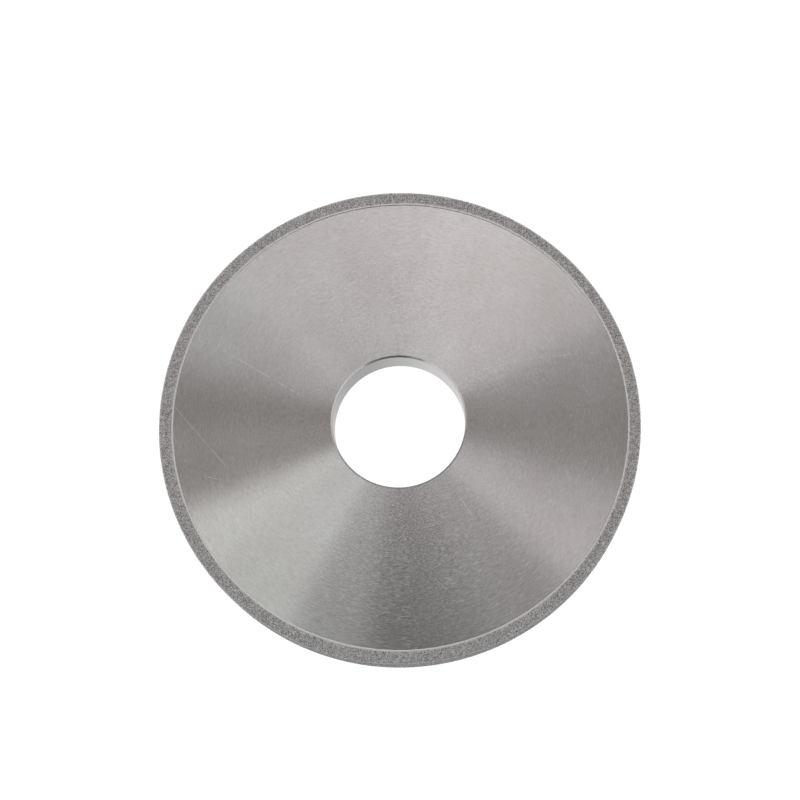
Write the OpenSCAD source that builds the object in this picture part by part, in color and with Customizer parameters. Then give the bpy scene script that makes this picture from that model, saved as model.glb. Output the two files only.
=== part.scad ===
// Electroplated diamond grinding wheel: a plain turned steel disc with a bore, whose rim is
// wrapped in a nickel bond that holds one layer of diamond grit. All sizes are in millimetres.
//
// Frame: +Z is the spin axis. The origin is on that axis, in the plane that the wheel lies on,
// which is the top of the grit on its back face.

/* [Wheel] */
// Finished diameter over the grit
wheel_d = 115; // [100:0.1:150]
// Finished width over the grit on both faces
wheel_w = 10; // [5:0.1:20]

/* [Bore] */
// Diameter of the bore that fits the spindle or flange
bore_d = 31.75; // [12:0.01:50]
// Leg of the 45 degree chamfer at each mouth of the bore
bore_chamfer = 0.4; // [0.1:0.05:1]

/* [Plated rim] */
// Radial depth of the grit band on each face
grit_depth = 2.9; // [2:0.1:10]
// Width of the bare nickel margin that slopes up from the steel to the grit band
margin_w = 0.5; // [0.4:0.05:2]
// Thickness of the nickel bond under the grit
nickel_t = 0.22; // [0.15:0.01:0.4]
// How far the diamond grains stand out of the nickel
grit_stand = 0.13; // [0.05:0.01:0.4]
// How deep each face is turned down to seat the plating
seat_depth = 0.05; // [0.02:0.01:0.1]
// Radius to which the steel corner is rounded before it is plated
core_corner_r = 0.25; // [0.1:0.05:0.8]

/* [Smoothness] */
// Straight segments in each rounded corner of a cross-section
corner_steps = 6; // [2:2:16]
// Segments round the wheel in a preview
turn_steps = 360; // [90:10:720]

/* [Hidden] */

wheel_r = wheel_d / 2;
bore_r = bore_d / 2;

// The plated part of the steel stops short of the finished size by one plated layer all round.
plated_t = nickel_t + grit_stand;
core_r = wheel_r - plated_t;
seat_front = wheel_w - plated_t;
// The bare face, where a flange clamps, is a little higher than the seat.
face_front = seat_front + seat_depth;
mid_z = wheel_w / 2;

// Inner radius of the grit band, and of the nickel margin inside it.
grit_r = wheel_r - grit_depth;
margin_r = grit_r - margin_w;
// The margin climbs for the first part of its width and is level for the rest.
slope_w = margin_w * 0.8;

// A point in the cross-section, as [radius, height], on a corner of the plated rim.
// lift is the height of the surface above the steel. turn is 90 on the front face and 0 on the
// rim, so 45 is the middle of the front corner.
function corner_point(lift, turn) =
    [core_r - core_corner_r + (core_corner_r + lift) * cos(turn),
     seat_front - core_corner_r + (core_corner_r + lift) * sin(turn)];

// The front corner from turn a to turn b, in equal steps.
function corner(lift, a, b, steps) =
    [for (i = [0 : steps]) corner_point(lift, a + (b - a) * i / steps)];

// The same points on the back face, and the same points in the opposite order.
function flip_to_back(points) = [for (p = points) [p[0], 2 * mid_z - p[1]]];
function reversed(points) = [for (i = [len(points) - 1 : -1 : 0]) points[i]];

// Front corner, rim and back corner of a surface at this lift, from the front face outwards.
function whole_rim(lift) =
    concat(corner(lift, 90, 0, corner_steps),
           reversed(flip_to_back(corner(lift, 90, 0, corner_steps))));

module turned(outline) {
    rotate_extrude($fn = turn_steps)
        polygon(outline);
}

// Steel disc, faced and bored on a lathe, with a broken edge at each mouth of the bore and a
// shallow step down to the seat of the plating.
module core() {
    front_half = [[bore_r, face_front - bore_chamfer],
                  [bore_r + bore_chamfer, face_front],
                  [margin_r, face_front],
                  [margin_r, seat_front]];
    color([0.70, 0.69, 0.68])
        turned(concat(front_half, whole_rim(0), reversed(flip_to_back(front_half))));
}

// Nickel that is plated round the rim and a little way in on both faces. It is one continuous
// skin: margin, front corner, rim, back corner, margin.
module nickel_bond() {
    front_margin = [[margin_r, seat_front],
                    [margin_r, face_front],
                    [margin_r + slope_w, seat_front + nickel_t]];
    color([0.78, 0.77, 0.74])
        turned(concat(front_margin,
                      whole_rim(nickel_t),
                      reversed(flip_to_back(front_margin)),
                      reversed(whole_rim(0))));
}

// Cross-section of the grit on the front face, out to the middle of the corner.
function front_grit_outline() =
    let (half = corner_steps / 2)
    concat([[grit_r, seat_front + nickel_t], [grit_r, seat_front + plated_t]],
           corner(plated_t, 90, 45, half),
           corner(nickel_t, 45, 90, half));

// Diamond grit on the front face.
module front_grit() {
    color([0.52, 0.51, 0.47])
        turned(front_grit_outline());
}

// Diamond grit on the rim, between the middles of the two corners.
module rim_grit() {
    half = corner_steps / 2;
    outer = corner(plated_t, 45, 0, half);
    inner = corner(nickel_t, 45, 0, half);
    color([0.47, 0.46, 0.43])
        turned(concat(outer,
                      reversed(flip_to_back(outer)),
                      flip_to_back(inner),
                      reversed(inner)));
}

// Diamond grit on the back face, the mirror image of the front.
module back_grit() {
    color([0.52, 0.51, 0.47])
        turned(flip_to_back(front_grit_outline()));
}

core();
nickel_bond();
front_grit();
rim_grit();
back_grit();
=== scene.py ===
# %% [markdown]
# # An electroplated diamond grinding wheel
# The wheel is a turned steel disc. Round its rim a nickel plating holds one layer of diamond
# grains. The CAD model settles every size, and this notebook gives the parts their looks: the
# lathe's finish on the steel, the satin nickel, and the diamond grains one by one.
#
# All lengths are in metres in the CAD's own frame. +Z is the spin axis, and the wheel lies on its
# back face at z = 0.

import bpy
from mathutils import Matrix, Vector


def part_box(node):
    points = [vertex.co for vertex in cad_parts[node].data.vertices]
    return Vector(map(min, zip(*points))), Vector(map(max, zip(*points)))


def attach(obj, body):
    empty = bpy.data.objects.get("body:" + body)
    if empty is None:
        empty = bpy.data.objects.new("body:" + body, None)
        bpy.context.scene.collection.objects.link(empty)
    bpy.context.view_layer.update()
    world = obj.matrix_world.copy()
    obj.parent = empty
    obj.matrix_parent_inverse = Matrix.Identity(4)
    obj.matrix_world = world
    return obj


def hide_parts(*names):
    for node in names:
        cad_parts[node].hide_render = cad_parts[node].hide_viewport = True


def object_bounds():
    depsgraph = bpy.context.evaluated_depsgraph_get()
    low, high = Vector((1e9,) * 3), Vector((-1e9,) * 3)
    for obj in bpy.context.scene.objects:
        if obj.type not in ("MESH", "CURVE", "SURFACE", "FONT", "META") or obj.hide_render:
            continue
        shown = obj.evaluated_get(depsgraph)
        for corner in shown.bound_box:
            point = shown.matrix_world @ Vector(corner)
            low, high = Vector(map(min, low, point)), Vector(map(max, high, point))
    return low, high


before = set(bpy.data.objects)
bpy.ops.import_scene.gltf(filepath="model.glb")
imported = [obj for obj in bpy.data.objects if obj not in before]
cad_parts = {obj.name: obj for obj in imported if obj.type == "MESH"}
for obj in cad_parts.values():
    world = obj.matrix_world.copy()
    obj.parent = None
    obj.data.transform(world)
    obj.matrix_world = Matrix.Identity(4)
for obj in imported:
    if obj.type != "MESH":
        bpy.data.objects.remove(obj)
cad_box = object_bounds()
print("CAD box from", list(cad_box[0]), "to", list(cad_box[1]))

# %% [markdown]
# ## Sizes
# Typing a size twice is how a model drifts from its drawing, so every place below comes from the
# CAD parts themselves: radii and heights are read off their meshes.

# %% Read the sizes off the CAD parts
import math

import bpy
import numpy as np

MM = 0.001


def radius_range(node):
    """Smallest and largest distance of a CAD part's surface from the spin axis."""
    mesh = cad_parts[node].data
    places = np.array([v.co for v in mesh.vertices])
    radii = np.hypot(places[:, 0], places[:, 1])
    return float(radii.min()), float(radii.max())


bore_r, steel_r = radius_range("core")
margin_r = radius_range("nickel_bond")[0]
band_r = radius_range("front_grit")[0]
wheel_r = radius_range("rim_grit")[1]
face_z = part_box("core")[1].z
wheel_w = cad_box[1].z
# The grit turns the corner of the rim on an arc. The rim's own grit ends at the arc's middle.
corner_r = (wheel_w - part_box("rim_grit")[1].z) / (1 - math.sin(math.radians(45)))
print(f"bore {2 * bore_r / MM:.2f}, wheel {2 * wheel_r / MM:.2f} x {wheel_w / MM:.2f} mm")
print(f"grit band from radius {band_r / MM:.2f}, corner radius {corner_r / MM:.2f} mm")

# %% [markdown]
# ## Camera
# A product shot looks down on the flat wheel, a little off its axis, with a long lens from about
# four wheel diameters away, so that the bore shows a sliver of its far wall. The camera is also
# rolled a little. Its frame is built from three axes by hand, because a roll is then one angle.

# %% Set the camera
ELEVATION = math.radians(76.75)
ROLL = math.radians(9.7)
DISTANCE = 0.432
LENS = 81.65
# How far the middle of the view lies from the middle of the front face, right and up.
AIM_RIGHT, AIM_UP = 0.31 * MM, 5.12 * MM

away = np.array([0.0, -math.cos(ELEVATION), math.sin(ELEVATION)])
level_right = np.array([1.0, 0.0, 0.0])
level_up = np.cross(away, level_right)
view_right = math.cos(ROLL) * level_right - math.sin(ROLL) * level_up
view_up = math.sin(ROLL) * level_right + math.cos(ROLL) * level_up
target = np.array([0.0, 0.0, face_z]) + AIM_RIGHT * view_right + AIM_UP * view_up

from mathutils import Matrix

camera = bpy.data.objects.new("camera", bpy.data.cameras.new("camera"))
bpy.context.scene.collection.objects.link(camera)
bpy.context.scene.camera = camera
camera.data.lens = LENS
camera.data.clip_start = 0.01
axes = np.column_stack([view_right, view_up, away, target + DISTANCE * away])
camera.matrix_world = Matrix(axes.tolist() + [[0, 0, 0, 1]])
print("camera", round(math.degrees(ELEVATION), 1), "degrees up,", LENS, "mm lens")

# %% [markdown]
# ## Colours and nodes
# Colours are written as the hex values of a paint chart. Blender's shaders want linear light, so
# one function converts them. Another adds a node with its settings and its links in one call,
# which keeps each material readable as a list of steps.


# %% Two helpers
def colour(hex_code):
    """A linear RGBA colour from an sRGB hex code such as #c4c3c1."""
    parts = [int(hex_code[i : i + 2], 16) / 255 for i in (1, 3, 5)]
    linear = [p / 12.92 if p <= 0.04045 else ((p + 0.055) / 1.055) ** 2.4 for p in parts]
    return (*linear, 1.0)


def add(tree, kind, inputs=None, **settings):
    """Adds a shader node. inputs maps a socket's name or number to a value or a socket to link."""
    node = tree.nodes.new("ShaderNode" + kind)
    for name, value in settings.items():
        setattr(node, name, value)
    for name, value in (inputs or {}).items():
        if isinstance(value, bpy.types.NodeSocket):
            tree.links.new(value, node.inputs[name])
        else:
            node.inputs[name].default_value = value
    return node


print("steel grey in linear light:", [round(c, 3) for c in colour("#c4c3c1")])

# %% [markdown]
# ## Light
# Turned metal shows its surroundings as bright and dark sectors, because every groove mirrors a
# fan of directions square to itself. A lamp alone would draw one thin bow-tie. A photographer
# stands white panels round the wheel and leaves gaps, and each sector is one panel or one gap.
# The panels are drawn in the world, as a ring of soft patches round the direction that the face
# mirrors into the lens. The lowest strip of the world is an even pale backdrop: the bore's
# chamfer shows it everywhere but on the far side, where it sees the dark gap behind the camera.

# %% List the panels
# What each direction round the wheel holds: degrees clockwise from the right of the view, how
# bright it is, and its tint. Neighbours blend evenly. The stops aren't a free design: they were
# picked and rounded from the output of a separate program, which fitted the world's brightness to
# the wheel's own sectors by least squares, and a few were then changed after trial renders.
PANELS = [
    (0, 0.35, "#fffaf8"),
    (12, 0.39, "#fffaf8"),
    (21, 0.65, "#fffbfc"),
    (35, 0.80, "#fffbfc"),
    (41, 0.74, "#fffbfc"),
    (46, 0.43, "#fffbfc"),
    (52, 0.37, "#ffffff"),
    (61, 0.38, "#ffffff"),
    (72, 0.24, "#ffffff"),
    (85, 0.16, "#f9fffc"),
    (95, 0.15, "#f9fffc"),
    (102, 0.44, "#f9fffc"),
    (115, 0.42, "#f9fffc"),
    (121, 0.84, "#fafffd"),
    (138, 0.84, "#fafffd"),
    (150, 1.14, "#fafffd"),
    (155, 0.92, "#fffdfb"),
    (160, 0.36, "#fffaf8"),
    (173, 0.44, "#fffaf8"),
    (185, 0.30, "#fffaf8"),
    (192, 0.40, "#fffdfc"),
    (199, 0.64, "#fdfeff"),
    (211, 0.69, "#fdfeff"),
    (220, 0.86, "#feffff"),
    (237, 0.91, "#fffafd"),
    (270, 1.05, "#fffbfd"),
    (290, 1.08, "#fffafc"),
    (310, 0.98, "#fffafc"),
    (331, 0.78, "#fff9fc"),
    (340, 0.46, "#fffcfd"),
]
# A ramp's colours stop at 1, so levels are divided by this in it and multiplied back after it.
BRIGHTEST = 1.6
BACKDROP = 1.15
# The backdrop strip reaches this high, as the sine of its elevation, and fades over this much.
STRIP_TOP = 0.27
STRIP_FADE = 0.02
# Where the strip has its gap, how wide that is in degrees, and how far its ends are blurred, as a
# share of half the gap.
GAP_AT, GAP_WIDTH = 86, 52
GAP_BLUR = 0.1
print(len(PANELS), "panel stops")

# %% [markdown]
# Directions round the ring are measured from its middle, which is where the middle of the face
# mirrors the camera. That middle has to be right: an error of less than a degree already smears
# the sectors into each other.

# %% Draw the panels in the world
world = bpy.data.worlds.new("studio panels")
bpy.context.scene.world = world
world.use_nodes = True
tree = world.node_tree
tree.nodes.clear()
towards = add(tree, "TexCoord").outputs["Generated"]
# The mirror direction is as far from the zenith as the camera, on the other side.
to_lens = target + DISTANCE * away - np.array([0, 0, face_z])
middle = (*(-to_lens[:2] / np.linalg.norm(to_lens)).tolist(), 0)
from_middle = add(tree, "VectorMath", {0: towards, 1: middle}, operation="SUBTRACT")
split = add(tree, "SeparateXYZ", {0: from_middle.outputs[0]})
turn = add(tree, "Math", {0: split.outputs["Y"], 1: split.outputs["X"]}, operation="ARCTAN2")
share = add(tree, "MapRange", {0: turn.outputs[0], 1: -math.pi, 2: math.pi})
ring = add(tree, "ValToRGB", {0: share.outputs[0]})


def panel_place(clockwise):
    """Where a direction round the view lies along the ramp, which runs counter-clockwise."""
    counter = -clockwise - math.degrees(ROLL)
    return ((counter + 180) % 360) / 360


def fill_ramp(ramp, stops):
    """Puts (position, linear colour) stops into a colour ramp."""
    stops = sorted(stops)
    ramp.elements[0].position, ramp.elements[1].position = stops[0][0], stops[-1][0]
    ramp.elements[0].color, ramp.elements[1].color = stops[0][1], stops[-1][1]
    for position, shade in stops[1:-1]:
        ramp.elements.new(position).color = shade


fill_ramp(
    ring.color_ramp,
    [
        (panel_place(clockwise), [c * level / BRIGHTEST for c in colour(tint)[:3]] + [1])
        for clockwise, level, tint in PANELS
    ],
)
print("world nodes for the ring:", len(tree.nodes))

# %% [markdown]
# The backdrop strip takes over from the ring where a direction is low. There is no backdrop
# behind the camera, so the strip has a gap there.

# %% Lay the backdrop strip under the ring
height = add(tree, "SeparateXYZ", {0: towards}).outputs["Z"]
low = add(tree, "MapRange", {0: height, 1: STRIP_TOP, 2: STRIP_TOP - STRIP_FADE}).outputs[0]
from_gap = add(tree, "Math", {0: share.outputs[0], 1: panel_place(GAP_AT)}, operation="SUBTRACT")
from_gap = add(tree, "Math", {0: from_gap.outputs[0]}, operation="ABSOLUTE").outputs[0]
half_gap = GAP_WIDTH / 2 / 360
gap_ends = {1: (1 - GAP_BLUR) * half_gap, 2: (1 + GAP_BLUR) * half_gap}
beyond = add(tree, "MapRange", {0: from_gap, **gap_ends}).outputs[0]
low_strip = add(tree, "Math", {0: low, 1: beyond}, operation="MULTIPLY")
backdrop_grey = [BACKDROP / BRIGHTEST] * 3 + [1]
seen = add(
    tree,
    "Mix",
    {0: low_strip.outputs[0], 6: ring.outputs["Color"], 7: backdrop_grey},
    data_type="RGBA",
)
glow = add(tree, "Background", {0: seen.outputs[2], 1: BRIGHTEST})
add(tree, "OutputWorld", {0: glow.outputs[0]})
print("world nodes:", len(tree.nodes))

# %% [markdown]
# ## Floor
# The wheel lies on a sheet of white acrylic that is lit from below, as small parts often are for
# a catalogue. Its own light is what shows as white. It returns little of the light that falls on
# it, so no shadow shows, and it throws light up at the rim and into the bore.

# %% Lay the floor
FLOOR_SIDE = 6.0
FLOOR_GLOW = 1.0

acrylic = bpy.data.materials.new("opal_acrylic_backlit")
acrylic.use_nodes = True
sheet = acrylic.node_tree.nodes["Principled BSDF"].inputs
sheet["Base Color"].default_value = colour("#303030")
sheet["Roughness"].default_value = 0.6
sheet["Emission Color"].default_value = (1, 1, 1, 1)
sheet["Emission Strength"].default_value = FLOOR_GLOW

half = FLOOR_SIDE / 2
corners = [(-half, -half, 0), (half, -half, 0), (half, half, 0), (-half, half, 0)]
floor_mesh = bpy.data.meshes.new("floor")
floor_mesh.from_pydata(corners, [], [(0, 1, 2, 3)])
floor_mesh.materials.append(acrylic)
floor = bpy.data.objects.new("floor", floor_mesh)
bpy.context.scene.collection.objects.link(floor)
bpy.context.scene.view_settings.view_transform = "Standard"
print("floor", FLOOR_SIDE, "m square")

# %% [markdown]
# ## Turned steel
# The disc is plain carbon steel, faced on a lathe. The tool leaves rings a fraction of a
# millimetre apart, so light spreads square to them and stays sharp along them. Principled's
# anisotropy does that: the tangent runs round the axis, and a quarter turn puts the wide side of
# the highlight across the rings.
#
# Anisotropy gives an even sheen. The marks that can be seen in it are the tool's fine grooves,
# some wider rings, and short smears where the chip dragged over the metal. The grooves are finer
# than a Bump node can follow, so all marks lean the normal directly, and only ever across the
# rings.

# %% Start the steel
steel = bpy.data.materials.new("carbon_steel_faced_on_lathe")
steel.use_nodes = True
tree = steel.node_tree
shader = tree.nodes["Principled BSDF"]
place = add(tree, "TexCoord").outputs["Object"]
flat = add(tree, "VectorMath", {0: place, 1: (1, 1, 0)}, operation="MULTIPLY").outputs[0]
out_r = add(tree, "VectorMath", {0: flat}, operation="LENGTH").outputs["Value"]
around = add(tree, "VectorMath", {0: flat}, operation="NORMALIZE").outputs[0]
up = add(tree, "SeparateXYZ", {0: place}).outputs["Z"]
# This grows across the marks both on the faces and in the bore.
out_and_up = add(tree, "Math", {0: out_r, 1: up}, operation="ADD").outputs[0]
print("steel nodes for the place on the wheel:", len(tree.nodes))

# %% [markdown]
# Each kind of mark is one noise, drawn out round the axis. It is a function of its width and its
# length, and two small helpers keep the maths that follows readable.


# %% Helpers for the marks
def ring_noise(width_mm, arc, detail):
    """Noise in marks that are width_mm wide and run round the axis; a higher arc is shorter."""
    out = add(tree, "Math", {0: out_and_up, 1: 1 / (width_mm * MM)}, operation="MULTIPLY").outputs[0]
    lift = add(tree, "CombineXYZ", {2: out}).outputs[0]
    spot = add(
        tree, "VectorMath", {0: around, 1: (arc, arc, 0), 2: lift}, operation="MULTIPLY_ADD"
    )
    grain = {"Vector": spot.outputs[0], "Scale": 1.0, "Detail": detail}
    return add(tree, "TexNoise", grain).outputs["Fac"]


def math_node(operation, *values):
    """One Math node's output."""
    return add(tree, "Math", dict(enumerate(values)), operation=operation).outputs[0]


def vector_node(operation, *values, output="Vector", **named):
    """One VectorMath node's output."""
    inputs = {**dict(enumerate(values)), **named}
    return add(tree, "VectorMath", inputs, operation=operation).outputs[output]


print("helpers:", ring_noise.__name__, math_node.__name__, vector_node.__name__)

# %% [markdown]
# The noises add up to one slope at every point, and the normal leans by that slope, square to the
# marks. The slopes are set so that each kind shows as much as it does on a real face.

# %% Rings and smears on the steel
# Smears are really about 0.1 mm wide. They are drawn at 0.25 mm, so that they show.
grooves = ring_noise(0.03, 50.0, 0.0)
wide_rings = ring_noise(0.5, 0.8, 1.0)
smears = ring_noise(0.25, 30.0, 1.0)
# How steep each kind of mark is, and its noise.
MARKS = [(0.20, grooves), (0.008, wide_rings), (0.034, smears)]
slope = -0.5 * sum(steepness for steepness, _ in MARKS)
for steepness, noise in MARKS:
    slope = math_node("MULTIPLY_ADD", noise, steepness, slope)
surface = add(tree, "NewGeometry").outputs["Normal"]
along_marks = vector_node("CROSS_PRODUCT", (0, 0, 1), around)
across_marks = vector_node("CROSS_PRODUCT", surface, along_marks)
leaning = vector_node("SCALE", across_marks, Scale=slope)
normal = vector_node("NORMALIZE", vector_node("ADD", surface, leaning))
tree.links.new(normal, shader.inputs["Normal"])
tangent = add(tree, "Tangent", direction_type="RADIAL", axis="Z")
tree.links.new(tangent.outputs[0], shader.inputs["Tangent"])
shader.inputs["Metallic"].default_value = 1.0
shader.inputs["Anisotropic"].default_value = 1.0
shader.inputs["Anisotropic Rotation"].default_value = 0.25
print("kinds of mark:", len(MARKS))

# %% [markdown]
# Handling leaves scratches that cross the rings, and dents from swarf. They are laid down one by
# one, as line segments on the face in millimetres, because a random pattern of them would look
# like a texture.

# %% Scratches and dents on the front face
# Both ends, the half width, and whether the scratch skips.
SCRATCHES = [
    ((-39.3, 25.0), (-21.3, 9.7), 0.14, True),
    ((-52.3, 12.7), (-42.4, -3.4), 0.10, False),
    ((-47.5, -5.2), (-44.1, -6.6), 0.12, True),
    ((19.6, 9.0), (34.8, 9.8), 0.07, True),
    ((34.8, 9.8), (49.7, 8.5), 0.07, True),
    ((44.7, 1.3), (46.0, -1.9), 0.08, False),
    ((11.3, -20.6), (13.3, -25.3), 0.10, False),
    ((2.2, -38.4), (4.2, -41.2), 0.07, False),
    ((46.2, -13.3), (45.9, -15.9), 0.09, True),
    ((39.3, -1.7), (39.5, -1.9), 0.15, False),
    ((40.1, -3.6), (40.1, -3.4), 0.12, False),
    ((40.7, -5.7), (40.6, -5.5), 0.16, False),
    ((41.7, -8.1), (41.8, -8.0), 0.14, False),
    ((-37.8, -26.1), (-37.6, -26.1), 0.14, False),
    ((-36.1, -27.1), (-36.0, -27.2), 0.12, False),
]
# A scratch skips where the thing that made it jumped: here about every millimetre. It misses the
# steel where the noise is under the first level, and cuts in full above the second.
SKIP = 0.9 * MM
MISSES, CUTS = 0.45, 0.55

skips = add(tree, "TexNoise", {"Vector": place, "Scale": 1 / SKIP, "Detail": 0.0}).outputs["Fac"]
skipping = add(tree, "MapRange", {0: skips, 1: MISSES, 2: CUTS}).outputs[0]
on_front = math_node("GREATER_THAN", up, wheel_w / 2)
scratched = 0.0
for start, end, half_width, skips_here in SCRATCHES:
    start, end = (np.array([*point, 0.0]) * MM for point in (start, end))
    length = float(np.linalg.norm(end - start))
    line = tuple((end - start) / length)
    from_start = vector_node("SUBTRACT", flat, tuple(start))
    along = vector_node("DOT_PRODUCT", from_start, line, output="Value")
    along = add(tree, "Clamp", {0: along, 1: 0.0, 2: length}).outputs[0]
    nearest = vector_node("SCALE", line, Scale=along)
    gap = vector_node("DISTANCE", from_start, nearest, output="Value")
    depth = add(tree, "MapRange", {0: gap, 1: half_width * MM, 2: 0.0}).outputs[0]
    if skips_here:
        depth = math_node("MULTIPLY", depth, skipping)
    scratched = math_node("MAXIMUM", scratched, depth)
scratched = math_node("MULTIPLY", scratched, on_front)
print(len(SCRATCHES), "scratches and dents,", len(tree.nodes), "nodes")

# %% [markdown]
# The steel's tone is not even. Oil and fingers leave faint brownish stains, and the fine grain of
# the cut is a little lighter and darker from spot to spot. A scratch shows bright clean metal and
# scatters light every way, so it is both lighter and rougher. The bore's wall gets painted shade:
# it is darker than the face, and darkest on its upper left side, as the wheel is seen.

# %% Tone and roughness of the steel
# Stains are about 14 mm across, and the grain of the cut is 0.35 mm.
STAIN = 1 / 70
CUT_GRAIN = 0.35 * MM
DULL_STEEL, BRIGHT_STEEL, CLEAN_STEEL = "#bdb9b6", "#cecccb", "#e3e1df"
LIGHT_BORE_SHADE, DARK_BORE_SHADE = "#adabaa", "#6b6968"
DULL_ROUGHNESS, BRIGHT_ROUGHNESS, SCRATCH_ROUGHNESS = 0.13, 0.115, 0.12
# The bore's wall is everything up to this far outside its radius. Its painted shade is darkest on
# the upper left side, as the wheel is seen.
BORE_WALL = 0.02 * MM
SHADED_SIDE = (-0.8, 0.6, 0)

stains = add(tree, "TexNoise", {"Vector": place, "Scale": 1 / STAIN, "Detail": 3.0}).outputs["Fac"]
grain = add(
    tree, "TexNoise", {"Vector": place, "Scale": 1 / CUT_GRAIN, "Detail": 1.0}
).outputs["Fac"]
uneven = math_node("ADD", math_node("MULTIPLY", stains, 0.7), math_node("MULTIPLY", grain, 0.3))
toned = math_node("ADD", math_node("MULTIPLY", smears, 0.5), math_node("MULTIPLY", uneven, 0.5))
tone = add(tree, "MapRange", {0: toned, 1: 0.35, 2: 0.65}).outputs[0]
metal = add(
    tree, "Mix", {0: tone, 6: colour(DULL_STEEL), 7: colour(BRIGHT_STEEL)}, data_type="RGBA"
).outputs[2]
fresh = add(
    tree, "Mix", {0: scratched, 6: metal, 7: colour(CLEAN_STEEL)}, data_type="RGBA"
).outputs[2]
# Painted shade: the bore's wall is darker than the face, and darkest on its upper left side.
in_bore = math_node("LESS_THAN", out_r, bore_r + BORE_WALL)
towards_shaded_side = vector_node("DOT_PRODUCT", around, SHADED_SIDE, output="Value")
shade_depth = add(tree, "MapRange", {0: towards_shaded_side}).outputs[0]
bore_shade = add(
    tree, "Mix", {0: shade_depth, 6: colour(LIGHT_BORE_SHADE), 7: colour(DARK_BORE_SHADE)}, data_type="RGBA"
).outputs[2]
with_bore_shade = add(tree, "Mix", {0: in_bore, 6: fresh, 7: bore_shade}, data_type="RGBA").outputs[2]
tree.links.new(with_bore_shade, shader.inputs["Base Color"])
worn = add(tree, "MapRange", {0: tone, 3: DULL_ROUGHNESS, 4: BRIGHT_ROUGHNESS}).outputs[0]
rough = math_node("MULTIPLY_ADD", scratched, SCRATCH_ROUGHNESS, worn)
tree.links.new(rough, shader.inputs["Roughness"])
print("steel nodes:", len(tree.nodes))

# %% [markdown]
# ## Plated nickel
# Nickel from a sulphamate bath comes out satin: very slightly warm, with fine nodules that
# scatter light almost evenly. It shows as the narrow pale margin inside the grit band, and
# between the grains.

# %% Nickel
# The plater's mask sits this far off centre, towards +X.
MASK_SHIFT = 0.21 * MM
# Nodules are about 0.05 mm. They are drawn at 0.3 mm, so that they show.
NODULE = 0.3 * MM
LUMP_HEIGHT = 0.05 * MM
SMOOTHEST, ROUGHEST = 0.5, 0.7
# The nickel between the grains is a greyer tone, which fades out over this much inside them.
GREY_EDGE = 0.1 * MM

nickel = bpy.data.materials.new("nickel_electroplated_satin")
nickel.use_nodes = True
tree = nickel.node_tree
shader = tree.nodes["Principled BSDF"]
place = add(tree, "TexCoord").outputs["Object"]
nodules = add(tree, "TexNoise", {"Vector": place, "Scale": 1 / NODULE, "Detail": 2.0}).outputs["Fac"]
tone = add(
    tree, "Mix", {0: nodules, 6: colour("#cfccca"), 7: colour("#fbf9f7")}, data_type="RGBA"
)
off_centre = add(tree, "VectorMath", {0: place, 1: (MASK_SHIFT, 0, 0)}, operation="SUBTRACT")
flat = add(tree, "VectorMath", {0: off_centre.outputs[0], 1: (1, 1, 0)}, operation="MULTIPLY")
out_r = add(tree, "VectorMath", {0: flat.outputs[0]}, operation="LENGTH").outputs["Value"]
between_grains = add(tree, "MapRange", {0: out_r, 1: band_r - GREY_EDGE, 2: band_r}).outputs[0]
greyed_nickel = add(
    tree, "Mix", {0: between_grains, 6: tone.outputs[2], 7: colour("#c7c4c2")}, data_type="RGBA"
)
tree.links.new(greyed_nickel.outputs[2], shader.inputs["Base Color"])
frost = add(tree, "MapRange", {0: nodules, 3: SMOOTHEST, 4: ROUGHEST}).outputs[0]
tree.links.new(frost, shader.inputs["Roughness"])
lumps = add(tree, "Bump", {"Height": nodules, "Strength": 1.0, "Distance": LUMP_HEIGHT})
tree.links.new(lumps.outputs[0], shader.inputs["Normal"])
shader.inputs["Metallic"].default_value = 1.0
print("nickel nodes:", len(tree.nodes))

# %% [markdown]
# ## Diamond
# Synthetic diamond for grinding comes as blocky crystals. This lot is grey, from nearly clear to
# dark. Each grain is one tint, so the colour comes from a random number that the shader gives
# every separate piece of a mesh. Diamond's index of refraction is 2.42, which is what makes dull
# grains still glint. The lightest tint of each lot is partly painted glint: near white, it stands
# in for grains that catch the light.

# %% Diamond
def diamond_lot(name, tints):
    """A material whose every grain has one of the tints, or a mixture of two neighbours."""
    material = bpy.data.materials.new(name)
    material.use_nodes = True
    tree = material.node_tree
    shader = tree.nodes["Principled BSDF"]
    lot = add(tree, "NewGeometry").outputs["Random Per Island"]
    ramp = add(tree, "ValToRGB", {0: lot})
    places = np.linspace(0, 1, len(tints)).tolist()
    fill_ramp(ramp.color_ramp, [(place, colour(tint)) for place, tint in zip(places, tints)])
    tree.links.new(ramp.outputs["Color"], shader.inputs["Base Color"])
    shader.inputs["Roughness"].default_value = 0.15
    shader.inputs["IOR"].default_value = 2.42
    return material


# The lightest tints here are partly the grains' own clear tone and partly painted glints.
clean_grit_painted_glints = diamond_lot(
    "synthetic_diamond_grain",
    ["#3c3b3a", "#4b4a48", "#5c5a58", "#6e6c6a", "#a09e9c", "#f2f0ee"],
)
# The rim does the grinding, so dust from the work greys its grains. Their tints are also darker as
# painted shade on the rim, and the lightest is partly a painted glint.
dusty_grit_painted_shade = diamond_lot(
    "synthetic_diamond_grain_dusty_with_painted_shade",
    ["#242323", "#302f2e", "#3a3938", "#444241", "#6a6867", "#b5b3b2"],
)
print("grain materials:", clean_grit_painted_glints.name, dusty_grit_painted_shade.name)

# %% [markdown]
# ## The cross-section of the plated rim
# The plating and the grit both wrap the rim: front face, corner, rim, corner, back face. Distance
# along that outline is one number, so one function turns it into a radius, a height and an
# outward direction. A depth under the outline makes the nickel's surface from the same function.

# %% Follow the outline of the rim
face_len = wheel_r - corner_r - band_r
arc_len = corner_r * math.pi / 2
rim_len = wheel_w - 2 * corner_r
whole_len = 2 * face_len + 2 * arc_len + rim_len


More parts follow.
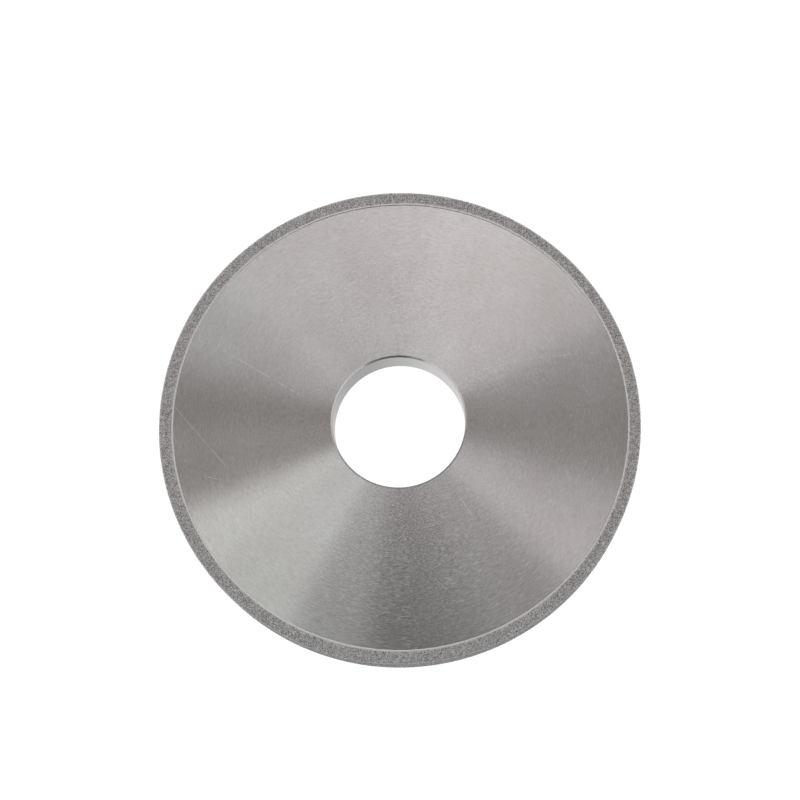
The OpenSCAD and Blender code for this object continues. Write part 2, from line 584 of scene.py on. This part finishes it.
def on_outline(along, depth=0.0):
    """Radius, height and outward direction (radial, up), at a distance along the outline."""
    back = along > whole_len / 2
    s = np.where(back, whole_len - along, along)
    angle = np.clip((s - face_len) / corner_r, 0, math.pi / 2)
    out, up = np.sin(angle), np.cos(angle)
    past_arc = np.maximum(s - face_len - arc_len, 0)
    radius = wheel_r - corner_r + np.minimum(s - face_len, 0) + (corner_r - depth) * out
    height = wheel_w - corner_r + (corner_r - depth) * up - past_arc
    return radius, np.where(back, wheel_w - height, height), out, np.where(back, -up, up)


def above_outline(radius, height):
    """How far points are outside the wheel's finished surface; negative is inside."""
    out = radius - (wheel_r - corner_r)
    up = np.abs(height - wheel_w / 2) - (wheel_w / 2 - corner_r)
    rounded = np.hypot(np.maximum(out, 0), np.maximum(up, 0))
    return rounded + np.minimum(np.maximum(out, up), 0) - corner_r


print(f"outline {whole_len / MM:.2f} mm long, rim {rim_len / MM:.2f} mm of it")

# %% [markdown]
# ## The nickel margin
# Before plating, the face is masked with lacquer or tape. The mask is never quite central, and
# nickel grows in beads along its edge, where the current is highest. So the margin gets its own
# mesh: its edge wanders, it is a little off centre, and its surface is lumpy. It goes all the way
# round the rim under the grains, so that no gap between them shows through.


# %% Noise that closes round the wheel
def round_noise(rng, count, width):
    """count values of smooth noise round the wheel, about width steps wide, from -1 to 1."""
    waves = np.fft.rfft(rng.normal(size=count))
    waves *= np.exp(-0.5 * (np.arange(len(waves)) * width * 2 / count) ** 2)
    waves[0] = 0
    noise = np.fft.irfft(waves, count)
    return np.clip(noise / (2.5 * noise.std()), -1, 1)


def add_piece(name, places, faces_of, node, material):
    """A mesh object from corner places and equal-length faces, standing for a CAD node."""
    mesh = bpy.data.meshes.new(name)
    loops = np.concatenate([faces.ravel() for faces in faces_of])
    totals = np.concatenate([np.full(len(faces), faces.shape[1]) for faces in faces_of])
    mesh.vertices.add(len(places))
    mesh.vertices.foreach_set("co", places.astype(np.float32).ravel())
    mesh.loops.add(len(loops))
    mesh.loops.foreach_set("vertex_index", loops.astype(np.int32))
    mesh.polygons.add(len(totals))
    mesh.polygons.foreach_set("loop_start", (np.cumsum(totals) - totals).astype(np.int32))
    mesh.update(calc_edges=True)
    mesh.validate()
    mesh.materials.append(material)
    piece = bpy.data.objects.new(name, mesh)
    bpy.context.scene.collection.objects.link(piece)
    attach(piece, "root")
    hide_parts(node)
    print(name, int((totals - 2).sum()), "triangles")
    return piece


# %% [markdown]
# The skin is a closed tube round the wheel. Its rows run over the beaded ridge at the mask's edge,
# under the grains to the corner, down the rim and back in on the other face, and two more rows
# close it inside the steel.

# %% Plate the rim
# How far the edge wanders in and out, and how far the beads stand up.
EDGE_WANDER = 0.06 * MM
BEAD = 0.04 * MM
NICKEL_STEPS = 2400
# The skin closes inside the steel, this far in from its rim and this far under its faces.
CLOSE_IN = 0.05 * MM
CLOSE_UNDER = 0.1 * MM
# The grains stand out of the nickel by this much.
stand = wheel_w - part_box("nickel_bond")[1].z
face_drop = wheel_w - face_z
# The beaded edge: distance from the mask, and depth below the top of the grains.
RIDGE = [
    (0.0, face_drop + 0.06 * MM),
    (0.12 * MM, stand + 0.06 * MM),
    (0.20 * MM, stand - 0.03 * MM),
    (0.28 * MM, stand - 0.04 * MM),
    (0.36 * MM, stand),
    (0.46 * MM, stand),
    (0.60 * MM, stand),
]
# Nickel also builds up a little at the wheel's corner, so it lies this deep under the grains' tops.
CORNER_DEPTH = 0.09 * MM
rng = np.random.default_rng(31)

turned = np.arange(NICKEL_STEPS) * 2 * math.pi / NICKEL_STEPS


def one_face_rows(rng):
    """Rows of (radius, depth below the top) from the mask's edge outwards."""
    wander = 0.5 * round_noise(rng, NICKEL_STEPS, 12) + 0.5 * round_noise(rng, NICKEL_STEPS, 3)
    edge = margin_r + MASK_SHIFT * np.cos(turned) + EDGE_WANDER * wander
    rows = []
    for distance, depth in RIDGE:
        # The foot of the ridge is sunk in the steel and needs no lumps.
        lumps = (BEAD if distance > 0 else 0) * round_noise(rng, NICKEL_STEPS, 2)
        rows.append((edge + distance, depth - lumps))
    return rows


def level_row(along, depth):
    """One row of the skin at a distance along the outline and a depth under it."""
    radius, height = (float(v) for v in on_outline(along, depth)[:2])
    return np.full(NICKEL_STEPS, radius), np.full(NICKEL_STEPS, height)


print(f"grains stand {stand / MM:.2f} mm out of the nickel")

# %% [markdown]
# Each face gets its own beaded edge. Between the two edges the rows follow the wheel's outline at
# the nickel's depth, and four-sided faces join every row to the next.

# %% Join the rows into a skin
front_edge = [(radius, wheel_w - depth) for radius, depth in one_face_rows(rng)]
back_edge = one_face_rows(rng)
under_grit = [level_row(share * face_len, stand) for share in (0.5, 0.75, 1.0)]
for share in (1 / 6, 1 / 3, 1 / 2, 2 / 3, 5 / 6, 1):
    depth = stand + (CORNER_DEPTH - stand) * math.sin(share * math.pi)
    under_grit.append(level_row(face_len + share * arc_len, depth))
under_back = [(radius, wheel_w - height) for radius, height in under_grit]
inner_r = np.full(NICKEL_STEPS, steel_r - CLOSE_IN)
closing_z = face_z - CLOSE_UNDER
closing = [(inner_r, np.full(NICKEL_STEPS, z)) for z in (wheel_w - closing_z, closing_z)]
tube = front_edge + under_grit + under_back[::-1] + back_edge[::-1] + closing

radii = np.array([radius for radius, _ in tube])
heights = np.array([height for _, height in tube])
places = np.stack([radii * np.cos(turned), radii * np.sin(turned), heights], -1).reshape(-1, 3)
row = np.arange(len(tube))[:, None] * NICKEL_STEPS
next_row = np.roll(row, -1, axis=0)
step = np.arange(NICKEL_STEPS)[None]
next_step = np.roll(step, -1, axis=1)
quads = np.stack([row + step, next_row + step, next_row + next_step, row + next_step], -1)
skin = add_piece(
    "nickel_skin", places, [quads.reshape(-1, 4)], "nickel_bond", nickel
)
for face in skin.data.polygons:
    face.use_smooth = True

# %% [markdown]
# ## Crystals
# Diamond grows as octahedra, cubes and the shapes between them. A displaced surface would look
# like gravel under a cloth, so each grain is its own closed solid. Three templates are enough,
# because each grain is turned and stretched at random.


# %% Three crystal shapes
def octahedron():
    """Corners and faces of an octahedron."""
    corners = [(1, 0, 0), (0, 1, 0), (-1, 0, 0), (0, -1, 0), (0, 0, 1), (0, 0, -1)]
    upper = [(i, (i + 1) % 4, 4) for i in range(4)]
    lower = [((i + 1) % 4, i, 5) for i in range(4)]
    return np.array(corners, float), [upper + lower]


def cube():
    """Corners and faces of a cube whose corners are as far out as the octahedron's."""
    side = 1 / math.sqrt(3)
    corners = [(x, y, z) for x in (-side, side) for y in (-side, side) for z in (-side, side)]
    faces = [(0, 1, 3, 2), (4, 6, 7, 5), (0, 4, 5, 1), (2, 3, 7, 6), (0, 2, 6, 4), (1, 5, 7, 3)]
    return np.array(corners), [faces]


def cut_octahedron():
    """An octahedron with its six tips cut square: eight triangles and six squares."""
    reach = 1 / math.sqrt(2)
    ends = (-reach, reach)
    corners = [(a, b, 0) for a in ends for b in ends]
    corners += [(a, 0, c) for a in ends for c in ends]
    corners += [(0, b, c) for b in ends for c in ends]
    corners = np.array(corners)
    # Every face is the corners that are furthest out in its own direction, in order round it.
    sides = {3: [], 4: []}
    signs = (-1, 1)
    ways = [(x, y, z) for x in signs for y in signs for z in signs]
    ways += [tuple(sign * v for v in axis) for axis in np.eye(3) for sign in signs]
    for way in ways:
        way = np.array(way) / np.linalg.norm(way)
        reached = corners @ way
        ring_of = np.flatnonzero(reached > reached.max() - 1e-6)
        first = corners[ring_of[0]] - way * reached[ring_of[0]]
        second = np.cross(way, first)
        turn_of = np.arctan2(corners[ring_of] @ second, corners[ring_of] @ first)
        sides[len(ring_of)].append(ring_of[np.argsort(turn_of)])
    return corners, [sides[3], sides[4]]


CRYSTALS = [octahedron(), cube(), cut_octahedron()]
print("corners per crystal:", [len(corners) for corners, _ in CRYSTALS])

# %% [markdown]
# ## Where the grains lie
# Grains stand in staggered rows along the outline, each nudged at random, as close as they can.
# That is how they settle when the wheel turns in a bed of grit while the first nickel tacks them
# down. The rows at the mask's edge have gaps.

# %% Place the grains
# Grit of mesh size 45/50 passes a 0.355 mm sieve and stays on a 0.3 mm one.
GRAIN = 0.33 * MM
ROW_STEP = GRAIN * 0.87
NUDGE = 0.3
SHAPE_SHARES = [0.4, 0.3, 0.3]
# How deep the highest tip of a grain lies under the CAD's surface.
DEEPEST = 0.07 * MM
SHALLOWEST = 0.02 * MM
# Share of the grains that the rows at the mask's edge lack.
EDGE_GAPS = 0.35
rng = np.random.default_rng(57)


def rows_of_grains():
    """Distance along the outline and angle round the axis of every grain, row by row."""
    alongs, angles = [], []
    last_row = round((whole_len - GRAIN) / ROW_STEP)
    for row in range(last_row + 1):
        along = GRAIN / 2 + row * (whole_len - GRAIN) / last_row
        count = round(2 * math.pi * float(on_outline(along)[0]) / GRAIN)
        keep = rng.random(count) > (EDGE_GAPS if row in (0, last_row) else 0.0)
        steps = np.arange(count) + (row % 2) / 2 + rng.uniform(-NUDGE, NUDGE, count)
        angles.append((steps * 2 * math.pi / count)[keep])
        alongs.append((along + rng.uniform(-NUDGE, NUDGE, count) * ROW_STEP)[keep])
    return np.concatenate(alongs), np.concatenate(angles)


alongs, angles = rows_of_grains()
print(len(alongs), "grains in all")

# %% [markdown]
# Each crystal is turned by a random unit quaternion and stretched. Then it sinks until its
# highest tip is just under the CAD's surface, so the wheel keeps its size.


# %% Build the grains as meshes
def random_turns(count):
    """count rotation matrices, evenly spread over all turns."""
    q = rng.normal(size=(count, 4))
    w, x, y, z = (q / np.linalg.norm(q, axis=1)[:, None]).T
    rows = [
        [1 - 2 * (y * y + z * z), 2 * (x * y - z * w), 2 * (x * z + y * w)],
        [2 * (x * y + z * w), 1 - 2 * (x * x + z * z), 2 * (y * z - x * w)],
        [2 * (x * z - y * w), 2 * (y * z + x * w), 1 - 2 * (x * x + y * y)],
    ]
    return np.moveaxis(np.array(rows), 2, 0)


def crystal_corners(template, along, angle):
    """Corners of one crystal per place, as an array of crystals x corners x 3."""
    count = len(along)
    size = GRAIN / 2 * rng.uniform(0.9, 1.3, (count, 1, 1))
    stretch = rng.uniform(0.8, 1.2, (count, 1, 3))
    local = np.einsum("nij,nvj->nvi", random_turns(count), template[None] * stretch * size)
    radius, height, out, up = on_outline(along)
    # The grit band's inner edge follows the mask.
    inside = np.minimum(along, whole_len - along) / face_len
    radius = radius + MASK_SHIFT * np.cos(angle) * np.clip(1 - inside, 0, 1)
    cos, sin = np.cos(angle), np.sin(angle)
    normal = np.stack([out * cos, out * sin, up], 1)
    corners = local + np.stack([radius * cos, radius * sin, height], 1)[:, None]
    proud = above_outline(np.hypot(corners[..., 0], corners[..., 1]), corners[..., 2]).max(1)
    sink = proud + rng.uniform(SHALLOWEST, DEEPEST, count)
    return corners - (normal * sink[:, None])[:, None]


def grain_piece(name, chosen, node, material):
    """One mesh of the chosen grains, which stands for a CAD node."""
    kind = rng.choice(len(CRYSTALS), size=len(chosen), p=SHAPE_SHARES)
    places, faces_of, first = [], [], 0
    for k, (template, sides) in enumerate(CRYSTALS):
        picked = chosen[kind == k]
        corners = crystal_corners(template, alongs[picked], angles[picked])
        starts = first + np.arange(len(picked)) * len(template)
        for same_length in sides:
            faces = starts[:, None, None] + np.array(same_length)[None]
            faces_of.append(faces.reshape(-1, faces.shape[2]))
        places.append(corners.reshape(-1, 3))
        first += len(picked) * len(template)
    return add_piece(name, np.concatenate(places), faces_of, node, material)


mid_arc = face_len + arc_len / 2
on_front_face = np.flatnonzero(alongs < mid_arc)
on_back_face = np.flatnonzero(alongs > whole_len - mid_arc)
on_rim = np.flatnonzero((alongs >= mid_arc) & (alongs <= whole_len - mid_arc))
grain_piece("front_diamonds", on_front_face, "front_grit", clean_grit_painted_glints)
grain_piece("back_diamonds", on_back_face, "back_grit", clean_grit_painted_glints)
# A mesh stays under 200,000 triangles, so the rim's grains are three meshes of every third grain.
for part in range(3):
    grain_piece(f"rim_diamonds_{part + 1}", on_rim[part::3], "rim_grit", dusty_grit_painted_shade)

# %% [markdown]
# ## Finish the disc
# The disc keeps its exact CAD shape, so only its material is exchanged.

# %% Dress the disc
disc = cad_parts["core"]
for material_slot in disc.material_slots:
    material_slot.material = steel
print("core is", steel.name)
